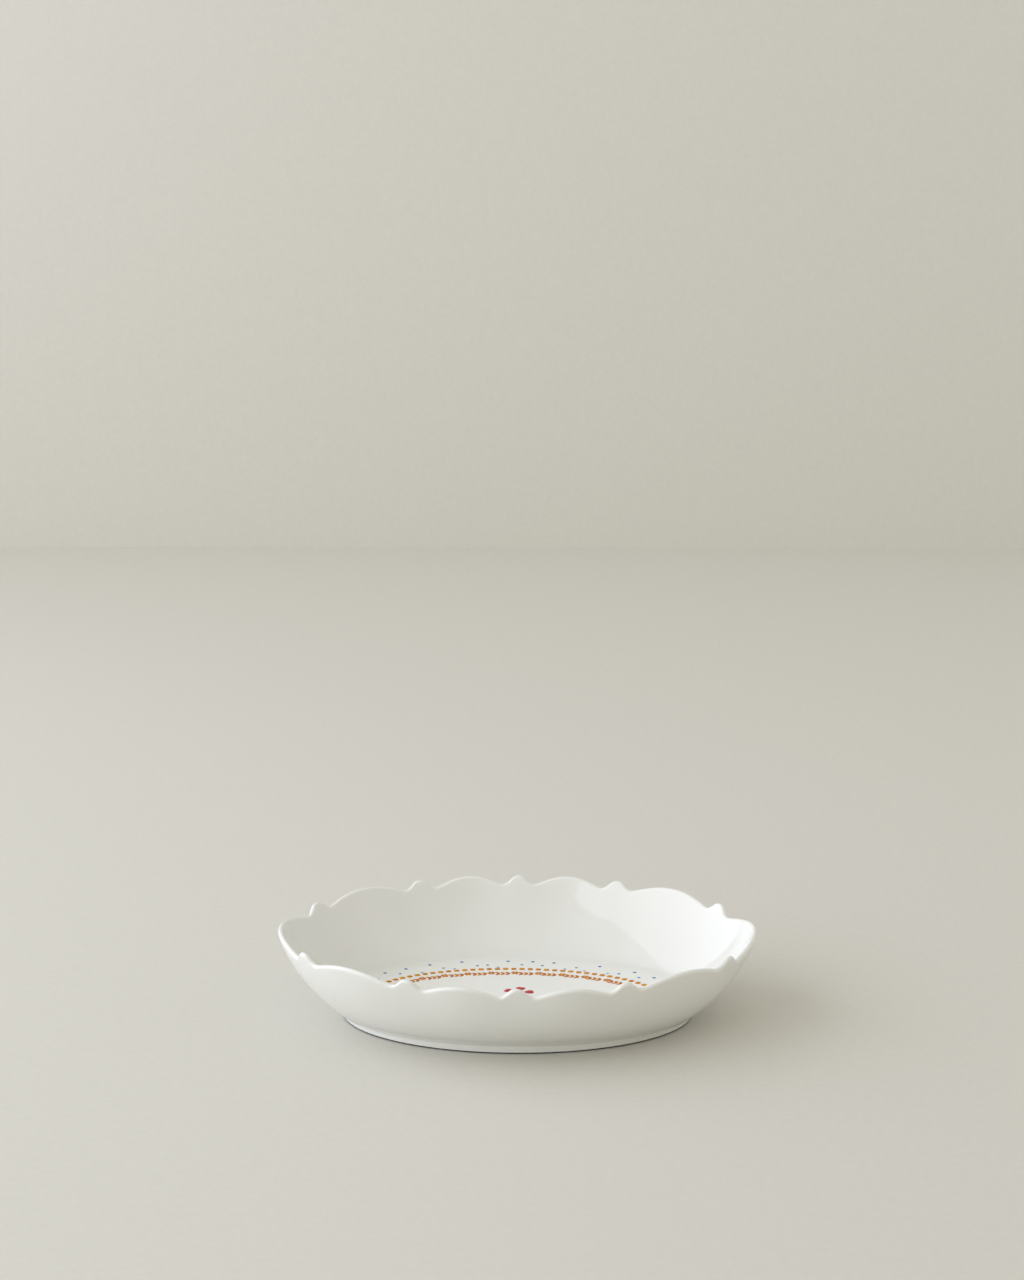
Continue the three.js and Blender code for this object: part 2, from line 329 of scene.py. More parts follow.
def oval_length(axes):
    """Length of the oval with the given half axes, and its length up to each angle of an even table."""
    table = np.linspace(0.0, FULL_TURN, OVAL_DIVISIONS + 1)
    pieces = np.hypot(np.diff(axes[0] * np.cos(table)), np.diff(axes[1] * np.sin(table)))
    return table, np.concatenate([[0.0], np.cumsum(pieces)])


def oval_angles(axes, distances):
    """Angles on an oval at the given lengths along it from its +X end."""
    table, travelled = oval_length(axes)
    return np.interp(np.mod(distances, travelled[-1]), travelled, table)


def evened(values, spread):
    """A closed row of values evened out by a bell of the given spread, in steps.

    Each wave in the row fades by the bell of its own number.
    """
    waves = np.fft.rfftfreq(len(values))
    kept = np.exp(-2 * (math.pi * waves * spread) ** 2)
    return np.fft.irfft(np.fft.rfft(values) * kept, len(values))


class PlateForm:
    """The plate's outline and section, worked out from its sizes.

    A point of the section is told by its reach, which is how far it lies outside the edge of the ring's
    seat, and by its height. Both faces of the wall are arcs about one centre, so a point on them is told by
    the slope there.
    """

    def __init__(self, shape):
        self.shape = shape
        self.seat_axes = np.array(
            [shape.foot_length / 2 + shape.end_shoulder, shape.foot_width / 2 + shape.side_shoulder]
        )
        self.lean = np.array([shape.end_lean, 1.0])
        self.floor_height = shape.foot_height + shape.floor_thickness
        self.rim_height = shape.foot_height + shape.rim_rise
        seat_edge = np.array([0.0, shape.foot_height])
        self.centre = seat_edge - arc((0.0, 0.0), shape.wall_radius, shape.wall_slope)
        self.inner_radius = shape.wall_radius - shape.wall_thickness
        self.middle_radius = shape.wall_radius - shape.wall_thickness / 2
        fillet_height = self.floor_height + shape.well_fillet
        fillet_arm = self.inner_radius - shape.well_fillet
        self.fillet_slope = math.acos((self.centre[1] - fillet_height) / fillet_arm)
        self.fillet_centre = arc(self.centre, fillet_arm, self.fillet_slope)
        self.well_axes = self.seat_axes + self.lean * self.fillet_centre[0]

    def slope_at(self, radius, height):
        """Slope of the wall's arc of the given radius at the given height."""
        return np.arccos((self.centre[1] - height) / radius)

    def rim(self):
        """Angle, lip height and bulge at stations evenly spaced along the rim.

        A lobe is an arch of a sine raised to a power, and a knob is a bell of the distance from its tip.
        The lobes follow each other from the knob before the +X end, and the side lobes share what is left.
        The lip is evened out a little, as glaze rounds the hollows beside the knobs, and lies lower along
        the stretch that sank in firing.
        """
        shape = self.shape
        rim_slope = self.slope_at(self.middle_radius, self.rim_height)
        axes = self.seat_axes + self.lean * arc(self.centre, self.middle_radius, rim_slope)[0]
        total = oval_length(axes)[1][-1]
        end = (shape.end_lobe_length, shape.end_lobe_rise, shape.end_lobe_bulge, shape.lobe_fullness)
        diagonal = (shape.diagonal_lobe_length, shape.diagonal_lobe_rise, 0.0, shape.lobe_fullness)
        side_length = total / 4 - end[0] / 2 - diagonal[0]
        side = (side_length, shape.side_lobe_rise, shape.side_lobe_bulge, shape.side_lobe_fullness)
        lobes = np.array([end, diagonal, side, side, diagonal] * 2)
        starts = np.cumsum(lobes[:, 0]) - lobes[:, 0]
        travelled = np.arange(RIM_STATIONS) * total / RIM_STATIONS
        lobe = np.searchsorted(starts, travelled, side="right") - 1
        along = travelled - starts[lobe]
        lengths, rises, bulges, fullness = lobes[lobe].T
        arch = np.sin(math.pi * along / lengths)
        knob = np.exp(-((along / shape.knob_width) ** shape.knob_fullness))
        knob += np.exp(-(((lengths - along) / shape.knob_width) ** shape.knob_fullness))
        lip = self.rim_height + rises * arch**fullness + shape.knob_rise * knob
        soft_lip = evened(lip, shape.lip_softness * RIM_STATIONS / total)
        angles = oval_angles(axes, travelled - end[0] / 2)
        return angles, soft_lip - self.sag(angles), bulges * arch**2

    def sag(self, angles):
        """How much lower the lip lies at each angle: a smooth step down and a smooth step up again."""
        shape = self.shape
        facing = np.arctan2(np.sin(angles), np.cos(angles))
        half = shape.sag_fade / 2
        sunk = smoothstep(facing, shape.sag_start - half, shape.sag_start + half)
        risen = smoothstep(facing, shape.sag_end - half, shape.sag_end + half)
        return shape.lip_sag * sunk * (1 - risen)

    def side_reach(self, angles):
        """Reach at which the plate's ovals cross the ring's own oval: the larger root of a quadratic."""
        along = 2 * np.cos(angles) / self.shape.foot_length
        across = 2 * np.sin(angles) / self.shape.foot_width
        square = (self.lean[0] * along) ** 2 + across**2
        cross = self.lean[0] * self.seat_axes[0] * along**2 + self.seat_axes[1] * across**2
        rest = (self.seat_axes[0] * along) ** 2 + (self.seat_axes[1] * across) ** 2 - 1
        return (np.sqrt(cross**2 - square * rest) - cross) / square

    def place(self, angles, section):
        """Carries a section round the oval: half axes plus the leaning reach, times cosine and sine."""
        x = (self.seat_axes[0] + self.lean[0] * section[..., 0]) * np.cos(angles)[:, None]
        y = (self.seat_axes[1] + self.lean[1] * section[..., 0]) * np.sin(angles)[:, None]
        return np.stack([x, y, np.broadcast_to(section[..., 1], x.shape)], axis=-1)


def closed_faces(stations, rows, looped=False):
    """Quads of a grid that closes on itself round the oval, and along its section too where that is a loop.

    The faces show the side that lies to the left of the section's way.
    """
    here = np.arange(stations)[:, None] * rows
    there = np.roll(here, -1, axis=0)
    row = np.arange(rows if looped else rows - 1)[None, :]
    after = (row + 1) % rows
    return np.stack([here + row, there + row, there + after, here + after], axis=-1).reshape(-1, 4)


def fan_faces(stations, rows, row, pole, upward):
    """Triangles from one row of a closed grid to a pole."""
    here = np.arange(stations) * rows + row
    there = np.roll(here, -1)
    first, second = (here, there) if upward else (there, here)
    return np.stack([np.full(stations, pole), first, second], axis=-1)


def new_piece(name, points, quads, triangles, material, node, slot):
    """A smooth mesh object from whole arrays, riding on the plate's body in the place of a CAD node."""
    mesh = bpy.data.meshes.new(name)
    corners = np.concatenate([quads.ravel(), triangles.ravel()]).astype(np.int32)
    starts = np.concatenate(
        [np.arange(len(quads)) * 4, len(quads) * 4 + np.arange(len(triangles)) * 3]
    ).astype(np.int32)
    mesh.vertices.add(len(points))
    mesh.vertices.foreach_set("co", points.astype(np.float32).ravel())
    mesh.loops.add(len(corners))
    mesh.loops.foreach_set("vertex_index", corners)
    mesh.polygons.add(len(starts))
    mesh.polygons.foreach_set("loop_start", starts)
    mesh.update(calc_edges=True)
    if mesh.validate():
        raise RuntimeError(f"the mesh of {name} had faults")
    mesh.shade_smooth()
    mesh.set_sharp_from_angle(angle=SHARP_ANGLE)
    mesh.materials.append(material)
    piece = bpy.data.objects.new(name, mesh)
    bpy.context.scene.collection.objects.link(piece)
    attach(piece, BODY)
    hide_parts(node)
    return piece


def point_values(piece, name, values):
    """Keeps one number for each point of a piece, for its material to read."""
    attribute = piece.data.attributes.new(name, "FLOAT", "POINT")
    attribute.data.foreach_set("value", np.asarray(values, dtype=np.float32).ravel())


def dish_surface(form):
    """The dish as a closed surface: a section carried round the plate's oval.

    The section runs from the middle of the underside to the edge of the ring's seat, up the wall's outer
    arc to the lip, over the lip's half circle, down the inner arc and the fillet's arc and back to the
    middle of the flat well. Returns its points, quads, triangles and glaze depth.
    """
    shape = form.shape
    angles, lip_height, bulge = form.rim()
    lip_radius = shape.wall_thickness / 2
    lip_slope = form.slope_at(form.middle_radius, lip_height - lip_radius)
    lip_centre = np.moveaxis(arc(form.centre, form.middle_radius, lip_slope), -1, 0)[..., None]
    fillet = arc(form.fillet_centre, shape.well_fillet, steps(form.fillet_slope, 0.0, FILLET_ROWS)[1:])
    wall = np.concatenate(
        [
            arc(form.centre, shape.wall_radius, steps(shape.wall_slope, lip_slope, WALL_ROWS)),
            arc(lip_centre, lip_radius, steps(lip_slope, lip_slope + math.pi, LIP_ROWS)[:, 1:-1]),
            arc(form.centre, form.inner_radius, steps(lip_slope, form.fillet_slope, WALL_ROWS)),
            np.broadcast_to(fillet, (RIM_STATIONS, *fillet.shape)),
        ],
        axis=1,
    )
    wall[..., 0] += bulge[:, None] * smoothstep(wall[..., 1], form.floor_height, form.rim_height)
    walls = form.place(angles, wall)
    share = np.linspace(0.0, 1.0, FLAT_ROWS + 1)[1:-1, None] * [1.0, 1.0, 0.0] + [0.0, 0.0, 1.0]
    underside = walls[:, :1] * share
    well = walls[:, -1:] * share[::-1]
    grid = np.concatenate([underside, walls, well], axis=1)
    rows = grid.shape[1]
    middles = [[0.0, 0.0, shape.foot_height], [0.0, 0.0, form.floor_height]]
    points = np.concatenate([grid.reshape(-1, 3), middles])
    pole = RIM_STATIONS * rows
    fans = [
        fan_faces(RIM_STATIONS, rows, 0, pole, upward=False),
        fan_faces(RIM_STATIONS, rows, rows - 1, pole + 1, upward=True),
    ]
    return points, closed_faces(RIM_STATIONS, rows), np.concatenate(fans), glaze_depth(form, grid)


def glaze_depth(form, grid):
    """How much thicker the glaze lies in the hollow where the well turns up.

    It is a bell of the way along the section from the fillet's middle, and none at the grid's two poles.
    """
    fillet_row = grid.shape[1] - (FLAT_ROWS - 1) - FILLET_ROWS // 2
    travelled = np.cumsum(np.linalg.norm(np.diff(grid, axis=1, prepend=grid[:, :1]), axis=-1), axis=1)
    depth = np.exp(-(((travelled - travelled[:, fillet_row, None]) / form.shape.well_fillet) ** 2))
    return np.concatenate([depth.ravel(), [0.0, 0.0]])


def ring_surface(form):
    """The standing ring as a closed surface: a loop of section carried round the ring's own oval.

    It runs over the outer lower edge's arc, up the side to the crease, which a quadratic curve fills, along
    the wall's arc to the seat's edge, across the seat, down a hollow fillet and the inner side, over the
    inner edge's arc and back along the flat base.
    """
    shape = form.shape
    angles = full_circle(RING_STATIONS)
    side = form.side_reach(angles)
    outward = side[:, None, None] * [1.0, 0.0]
    crease_slope = np.arcsin((side - form.centre[0]) / shape.wall_radius)
    fill_slope = crease_slope + shape.crease_fill * (shape.wall_slope - crease_slope)
    crease = arc(form.centre, shape.wall_radius, crease_slope)[:, None]
    below = crease - shape.crease_fill * (crease - [0.0, shape.foot_edge]) * [0.0, 1.0]
    above = arc(form.centre, shape.wall_radius, fill_slope)[:, None]
    edge = arc((-shape.foot_edge, shape.foot_edge), shape.foot_edge, steps(0.0, QUARTER_TURN, EDGE_ROWS))
    inner_edge = edge[::-1] * [-1.0, 1.0] - [shape.foot_base, 0.0]
    corner = np.array([-shape.foot_base, shape.foot_height])
    cove_top, cove_foot = corner - shape.foot_cove * np.eye(2)
    cove = rounded_corner(cove_top, corner, cove_foot, CREASE_ROWS)
    shoulder = steps(fill_slope, shape.wall_slope, SHOULDER_ROWS)[:, 1:]
    section = np.concatenate(
        [
            edge + outward,
            rounded_corner(below, crease, above, CREASE_ROWS),
            arc(form.centre, shape.wall_radius, shoulder),
            np.vstack([cove, inner_edge]) + outward,
        ],
        axis=1,
    )
    quads = closed_faces(RING_STATIONS, section.shape[1], looped=True)
    no_triangles = np.zeros((0, 3), dtype=int)
    return form.place(angles, section).reshape(-1, 3), quads, no_triangles


def oval_outline(points):
    """A round outline of radius one half, along and across."""
    return heading_vectors(full_circle(points)) / 2


def stitch_outline(points):
    """A dash with round corners: the fourth-power oval, from the roots of a circle's cosine and sine."""
    circle = heading_vectors(full_circle(points))
    return np.sign(circle) * np.sqrt(np.abs(circle)) / 2


def leaf_outline(points):
    """A leaf with its tip forward: as wide as the sine of its turn, drawn in towards the tip."""
    along, across = heading_vectors(full_circle(points)).T
    return np.stack([along, across * (1 - LEAF_POINT * along)], axis=-1) / 2


def petal_outline(points):
    """A broad petal, narrow at the root and full at the tip, with a shallow bell-shaped notch there."""
    turn = full_circle(points)
    along, across = heading_vectors(turn).T
    from_tip = np.minimum(turn, FULL_TURN - turn)
    notched = along * (1 - NOTCH_DEPTH * np.exp(-(from_tip**2) / NOTCH_SPREAD))
    return np.stack([notched, across * (1 + PETAL_FULLNESS * along)], axis=-1) / 2


def raised_pads(outline, middles, headings, lengths, widths, base, thickness):
    """Low pads of enamel: one outline, set at each middle, turned to its heading and stretched to its size.

    Each pad has a ring at its base, one at most of its height, a smaller one on top and a point in the
    middle of its base and of its top. Returns the points, quads and triangles of all the pads.
    """
    copies, sides = len(middles), len(outline)
    sizes = np.stack([np.broadcast_to(lengths, copies), np.broadcast_to(widths, copies)], axis=-1)
    flat = outline[None] * sizes[:, None]
    forward = heading_vectors(headings)[:, None]
    sideways = np.stack([-forward[..., 1], forward[..., 0]], axis=-1)
    turned = flat[..., :1] * forward + flat[..., 1:] * sideways
    plane = middles[:, None, None] + turned[:, None] * PAD_RING_SIZES[None, :, None, None]
    ring_heights = base + thickness * PAD_RING_HEIGHTS
    height = np.broadcast_to(ring_heights[None, :, None, None], (*plane.shape[:-1], 1))
    rings = np.concatenate([plane, height], axis=-1).reshape(copies, -1, 3)
    foot = np.column_stack([middles, np.full(copies, base)])[:, None]
    crown = np.column_stack([middles, np.full(copies, base + thickness)])[:, None]
    points = np.concatenate([rings, foot, crown], axis=1)
    here = np.arange(sides)
    there = np.roll(here, -1)
    wall = np.stack([here, there, there + sides, here + sides], axis=-1)
    walls = np.concatenate([wall + ring * sides for ring in range(len(PAD_RING_SIZES) - 1)])
    foot_point = rings.shape[1]
    top_ring = foot_point - sides
    under = np.stack([np.full(sides, foot_point), there, here], axis=-1)
    over = np.stack([np.full(sides, foot_point + 1), top_ring + here, top_ring + there], axis=-1)
    first = np.arange(copies)[:, None, None] * points.shape[1]
    triangles = np.concatenate([under, over]) + first
    return points.reshape(-1, 3), (walls + first).reshape(-1, 4), triangles.reshape(-1, 3)


class PrintPlan:
    """Where the prints lie on the flat well: on ovals beside the stitches, shifted and turned together."""

    def __init__(self, form, layout):
        self.layout = layout
        self.base = form.floor_height
        self.stitch_axes = form.well_axes - layout.stitch_inset

    def along(self, axes, copies, start):
        """Points and headings at equal steps along an oval, the first at the given share of a step."""
        step = oval_length(axes)[1][-1] / copies
        turn = oval_angles(axes, (np.arange(copies) + start) * step)
        return axes * heading_vectors(turn), np.arctan2(axes[1] * np.cos(turn), -axes[0] * np.sin(turn))

    def on_plate(self, points, headings):
        """Points and headings of the print's own frame, shifted and turned onto the plate."""
        turn = self.layout.turn
        x = points[:, 0] * math.cos(turn) - points[:, 1] * math.sin(turn) + self.layout.shift
        y = points[:, 0] * math.sin(turn) + points[:, 1] * math.cos(turn)
        return np.stack([x, y], axis=-1), headings + turn

    def pads(self, outline, points, headings, lengths, widths):
        """Low pads of enamel on the well at the given places of the print's own frame."""
        middles, turned = self.on_plate(points, headings)
        return raised_pads(outline, middles, turned, lengths, widths, self.base, self.layout.thickness)


def joined(*groups):
    """Several groups of points, quads and triangles as one."""
    first = np.cumsum([0] + [len(points) for points, _, _ in groups[:-1]])
    return (
        np.concatenate([points for points, _, _ in groups]),
        np.concatenate([quads + start for start, (_, quads, _) in zip(first, groups)]),
        np.concatenate([triangles + start for start, (_, _, triangles) in zip(first, groups)]),
    )


def set_inputs(material, node, inputs):
    """Sets a node's inputs to values, or plugs other nodes' outputs into them."""
    for socket, value in inputs.items():
        if isinstance(value, bpy.types.NodeSocket):
            material.node_tree.links.new(value, node.inputs[socket])
        else:
            node.inputs[socket].default_value = value


def add_node(material, kind, inputs, **options):
    """Adds a node to a material and sets its options and inputs."""
    node = material.node_tree.nodes.new(kind)
    for option, value in options.items():
        setattr(node, option, value)
    set_inputs(material, node, inputs)
    return node


def new_material(name):
    """An empty node material, its shader, and Object coordinates to work from."""
    material = bpy.data.materials.new(name)
    material.use_nodes = True
    shader = material.node_tree.nodes["Principled BSDF"]
    place = add_node(material, "ShaderNodeTexCoord", {}).outputs["Object"]
    return material, shader, place


def noise(material, place, grains, detail=SOFT_DETAIL):
    """Soft noise of the given number of grains to the metre."""
    inputs = {"Vector": place, "Scale": grains, "Detail": detail, "Roughness": NOISE_ROUGHNESS}
    return add_node(material, "ShaderNodeTexNoise", inputs).outputs["Fac"]


def span(material, value, source, target):
    """Maps a value from one span to another, held at the ends."""
    inputs = dict(zip(SPAN_SOCKETS, (value, *source, *target)))
    return add_node(material, "ShaderNodeMapRange", inputs).outputs["Result"]


def mixed(material, share, first, second):
    """Mixes two colours by a share."""
    inputs = {MIX_FACTOR: share, MIX_FIRST: first, MIX_SECOND: second}
    return add_node(material, "ShaderNodeMix", inputs, data_type="RGBA").outputs[MIX_RESULT]


def own_value(material, name):
    """A number kept with each point of the piece."""
    return add_node(material, "ShaderNodeAttribute", {}, attribute_name=name).outputs["Fac"]


def glaze_waves(material, place):
    """The glaze's slow waves with the fine orange peel on them, as the Normal input of a shader."""
    normal = {}
    for grains, strength, height in (SLOW_WAVES, ORANGE_PEEL):
        rise = {"Height": noise(material, place, grains), "Strength": strength, "Distance": height}
        bump = add_node(material, "ShaderNodeBump", {**rise, **normal})
        normal = {"Normal": bump.outputs["Normal"]}
    return normal


def new_glaze(name):
    """A glossy, gently wavy glaze: its material, shader and coordinates, its clouds and its roughness."""
    material, shader, place = new_material(name)
    cloudy = noise(material, place, CLOUD_GRAINS, FINE_DETAIL)
    clouds = span(material, cloudy, CLOUD_SPAN, (0.0, CLOUD_SHARE))
    roughness = span(material, noise(material, place, GLOSS_GRAINS), NOISE_SPAN, GLAZE_ROUGHNESS)
    set_inputs(material, shader, {"IOR": GLAZE_IOR, **glaze_waves(material, place)})
    return material, shader, place, clouds, roughness


def dish_finish(colours):
    """Warm white glaze, cloudy by a few per cent and deeper in tone where it pools."""
    material, shader, _, clouds, roughness = new_glaze("porcelain_glaze")
    depth = span(material, own_value(material, "glaze_depth"), WHOLE, (0.0, POOL_SHARE))
    deeper = add_node(material, "ShaderNodeMath", {0: clouds, 1: depth}, operation="MAXIMUM")
    tone = mixed(material, deeper.outputs[0], colours.glaze, colours.pooled)
    set_inputs(material, shader, {"Base Color": tone, "Roughness": roughness})
    return material


def ring_finish(colours):
    """Warm white glaze down to a ragged, matt dark line round the lower edge, which is painted contact
    shadow, and a ground base of bare clay.
    """
    material, shader, place, clouds, glossy = new_glaze("ring_glaze")
    height = add_node(material, "ShaderNodeSeparateXYZ", {"Vector": place}).outputs["Z"]
    # Painted shade: a ragged band up to about 1 mm above the table is darkened to stand in for the contact
    # shadow under the ring's edge. The same band is also made matt, as a bare edge.
    ragged = add_node(
        material,
        "ShaderNodeMath",
        {0: noise(material, place, EDGE_GRAINS), 1: EDGE_RAGGED, 2: height},
        operation="MULTIPLY_ADD",
    )
    bare_and_painted_shade = span(material, ragged.outputs[0], EDGE_FADE, FADING)
    ground = span(material, height, GROUND_FADE, FADING)
    glazed = mixed(material, clouds, colours.glaze, colours.pooled)
    with_painted_shade = mixed(material, bare_and_painted_shade, glazed, colours.edge)
    tone = mixed(material, ground, with_painted_shade, colours.clay)
    roughness = span(material, bare_and_painted_shade, WHOLE, (glossy, BARE_ROUGHNESS))
    set_inputs(material, shader, {"Base Color": tone, "Roughness": roughness})
    return material


def enamel_finish(name, dark, pale):
    """Fired enamel, duller than the glaze: between two tones by each pad's own tone and a fine mottle."""
    material, shader, place = new_material(name)
    mottle = span(material, noise(material, place, MOTTLE_GRAINS), NOISE_SPAN, MOTTLE)
    parts = {0: own_value(material, "tone"), 1: mottle}
    share = add_node(material, "ShaderNodeMath", parts, operation="ADD", use_clamp=True)
    tone = mixed(material, share.outputs[0], dark, pale)
    roughness = span(material, noise(material, place, ENAMEL_GRAINS), NOISE_SPAN, ENAMEL_ROUGHNESS)
    gloss = {"IOR": ENAMEL_IOR, "Specular IOR Level": ENAMEL_GLOSS}
    set_inputs(material, shader, {"Base Color": tone, "Roughness": roughness, **gloss})
    return material


def even_scatter(copies, step):
    """Well spread shares between 0 and 1: the fractions of a step's multiples."""
    return np.mod((np.arange(copies) + 0.5) * step, 1.0)


def centred_scatter(copies, step):
    """Well spread shares between minus one half and one half."""
    return even_scatter(copies, step) - 0.5


class PLATE_OT_dish(bpy.types.Operator):
    """Makes the glazed dish: floor, flared wall, scalloped lip and knobs"""

    bl_idname = "plate.dish"
    bl_label = "Make Dish"

    def execute(self, context):
        form = PlateForm(context.scene.plate_shape)
        *surface, depth = dish_surface(form)
        finish = dish_finish(context.scene.plate_colours)
        dish = new_piece("glazed_dish", *surface, finish, "plate_body", "glazed_porcelain")
        point_values(dish, "glaze_depth", depth)
        return {"FINISHED"}


class PLATE_OT_ring(bpy.types.Operator):
    """Makes the ring that the plate stands on, with its ground base"""

    bl_idname = "plate.ring"
    bl_label = "Make Standing Ring"

    def execute(self, context):
        form = PlateForm(context.scene.plate_shape)
        finish = ring_finish(context.scene.plate_colours)
        new_piece("standing_ring", *ring_surface(form), finish, "foot_ring", "foot_porcelain")
        return {"FINISHED"}


def plan_of(context):
    """The plan of the prints, and the sizes and colours to make them with."""
    scene = context.scene
    layout = scene.plate_prints
    return PrintPlan(PlateForm(scene.plate_shape), layout), layout, scene.plate_colours


def new_print(name, pads, tones, finish, node, slot):
    """A print of pads of enamel, its tones shared out evenly over the points in their order."""
    piece = new_piece(name, *pads, finish, node, slot)
    point_values(piece, "tone", np.repeat(tones, len(pads[0]) // len(tones)))


class PLATE_OT_stitches(bpy.types.Operator):
    """Makes the border of orange dashes"""

    bl_idname = "plate.stitches"
    bl_label = "Make Stitch Border"

    def execute(self, context):
        plan, layout, colours = plan_of(context)
        places, headings = plan.along(plan.stitch_axes, layout.stitches, layout.stitch_start)
        change = STITCH_CHANGE * centred_scatter(layout.stitches, ACROSS_SCATTER)
        lengths = layout.stitch_length * (1 + change)
        pads = plan.pads(stitch_outline(PAD_POINTS), places, headings, lengths, layout.stitch_width)
        finish = enamel_finish("stitch_enamel", colours.stitch, colours.amber)
        tones = even_scatter(layout.stitches, ACROSS_SCATTER)
        new_print("stitch_dashes", pads, tones, finish, "stitch_border", "orange_print")
        return {"FINISHED"}


class PLATE_OT_dots(bpy.types.Operator):
    """Makes the sprinkle of blue dots round the well, in three rows that follow each other by turns"""

    bl_idname = "plate.dots"
    bl_label = "Make Dots"

    def execute(self, context):
        plan, layout, colours = plan_of(context)
        rows = np.array([layout.dots_far, layout.dots_middle, layout.dots_near])
        row = np.array([DOT_ROWS.index(letter) for letter in DOT_CYCLE] * layout.dot_rounds)
        copies = len(row)
        aside = DOT_SHIFT * centred_scatter(copies, ALONG_SCATTER)
        places, headings = plan.along(plan.stitch_axes, copies, layout.dot_start + aside)
        outward = np.stack([np.sin(headings), -np.cos(headings)], axis=-1)
        stray = 2 * layout.dots_stray * centred_scatter(copies, ACROSS_SCATTER)
        places = places + outward * (rows[row] + stray)[:, None]
        sizes = layout.dot_size * (1 - DOT_FADE * row / len(rows))
        pads = plan.pads(oval_outline(PAD_POINTS), places, headings, sizes, sizes)
        finish = enamel_finish("dot_enamel", colours.blue, colours.sky)
        tones = row / len(rows) + DOT_FADE * centred_scatter(copies, TONE_SCATTER)
        new_print("blue_dots", pads, tones, finish, "dot_border", "blue_print")
        return {"FINISHED"}


class PLATE_OT_garland(bpy.types.Operator):
    """Makes the garland of small ring flowers, each followed by pairs of leaves"""

    bl_idname = "plate.garland"
    bl_label = "Make Garland"

    def execute(self, context):
        plan, layout, colours = plan_of(context)
        axes = plan.stitch_axes - layout.garland_inset
        step = oval_length(axes)[1][-1] / layout.garland_units
        leaf = leaf_outline(PAD_POINTS)
        middles, headings = plan.along(axes, layout.garland_units, layout.garland_start)
        petal_sizes = layout.flower_ring * FLOWER_PETAL
        groups = []
        tones = []
        for petal, turn in enumerate(full_circle(layout.flower_petals)):
            facing = headings + turn
            places = middles + layout.flower_ring * heading_vectors(facing)
            groups.append(plan.pads(leaf, places, facing, *petal_sizes))
            tones.append(PETAL_TONES[petal % 2])
        for pair in range(layout.leaf_pairs):
            ahead = 2 * layout.flower_ring + layout.leaf_step * (pair + LEAF_START)
            start = layout.garland_start - ahead / step
            stem, headings = plan.along(axes - layout.leaf_drop, layout.garland_units, start)
            for side in (-1, 1):
                facing = headings + side * layout.leaf_splay
                places = stem + layout.leaf_length / 2 * heading_vectors(facing)
                groups.append(plan.pads(leaf, places, facing, layout.leaf_length, layout.leaf_width))
                tones.append(LEAF_TONES[(pair + side) % 2])
        finish = enamel_finish("garland_enamel", colours.rust, colours.coral)
        new_print("flower_garland", joined(*groups), tones, finish, "leaf_garland", "rust_print")
        return {"FINISHED"}


class PLATE_OT_blossom(bpy.types.Operator):
    """Makes the red blossom in the middle of the well"""

    bl_idname = "plate.blossom"
    bl_label = "Make Blossom"

    def execute(self, context):
        plan, layout, colours = plan_of(context)
        facing = full_circle(layout.blossom_petals) + layout.blossom_turn
        middle = np.array([[layout.blossom_x, layout.blossom_y]])
        places = middle + layout.blossom_radius * heading_vectors(facing)
        petal = petal_outline(PETAL_POINTS)
        petals = plan.pads(petal, places, facing, layout.petal_length, layout.petal_width)
        eye_size = EYE_SHARE * layout.blossom_radius
        eye = plan.pads(oval_outline(PETAL_POINTS), middle, np.zeros(1), eye_size, eye_size)
        finish = enamel_finish("blossom_enamel", colours.red, colours.rose)
        tones = [PETAL_TONE] * layout.blossom_petals + [EYE_TONE]
        new_print("red_blossom", joined(petals, eye), tones, finish, "centre_blossom", "red_print")
        return {"FINISHED"}


class StageSettings(bpy.types.PropertyGroup):
    """The stage, its light and the camera."""

    camera_distance: length("Camera distance", "Along the floor to the plate's middle", 1279.46)
    camera_aside: offset("Camera aside", "How far the camera stands to the right of the plate", -2.77)
    camera_height: length("Camera height", "Height of the camera above the floor", 487.42)
    camera_pitch: angle("Camera pitch", "How far the camera looks down", 13.01)
    camera_turn: angle("Camera turn", "How far the view is turned round the plate", 0.51)
    focal_length: ratio("Focal length", "Lens in millimetres, on a long side of 36 mm", 75.94)
    wall_distance: length("Wall distance", "From the plate's middle to the wall behind", 1214.0)
    floor_size: length("Floor size", "Length of the floor's sides", 9000.0)
    window_distance: length("Window distance", "From the plate's middle to the light at the left", 1200.0)
    window_width: length("Window width", "Width of the soft light", 3200.0)
    window_height: length("Window height", "Height of the soft light", 1760.0)
    window_forward: offset("Window forward", "How far the light's middle lies beyond the plate", -600.0)
    window_power: ratio("Window power", "Power of the soft light, in watts", 36.5)
    board_power: ratio("Board power", "Power of the fill at the right, in watts", 6.0)
    board_width: length("Board width", "Width of the fill", 1950.0)
    board_forward: offset("Board forward", "How far the fill's middle lies beyond the plate", 225.0)
    ceiling_height: length("Ceiling height", "Height of the soft light overhead", 1900.0)
    ceiling_size: length("Ceiling size", "Length of the sides of the soft light overhead", 2400.0)
    ceiling_power: ratio("Ceiling power", "Power of the soft light overhead, in watts", 6.5)
    room_light: ratio("Room light", "Strength of the even light of the room", 0.46)
    window_colour: colour("Window colour", "Colour of all the panels of light", 0.82, 0.865, 1.0)
    room_colour: colour("Room colour", "Colour of the room's even light", 1.0, 0.94, 0.71)


def stage_plane(name, corners, material):
    """A flat plain surface of the stage from its four corners."""
    mesh = bpy.data.meshes.new(name)
    mesh.from_pydata(corners, [], [(0, 1, 2, 3)])
    mesh.materials.append(material)
    plane = bpy.data.objects.new(name, mesh)
    bpy.context.scene.collection.objects.link(plane)


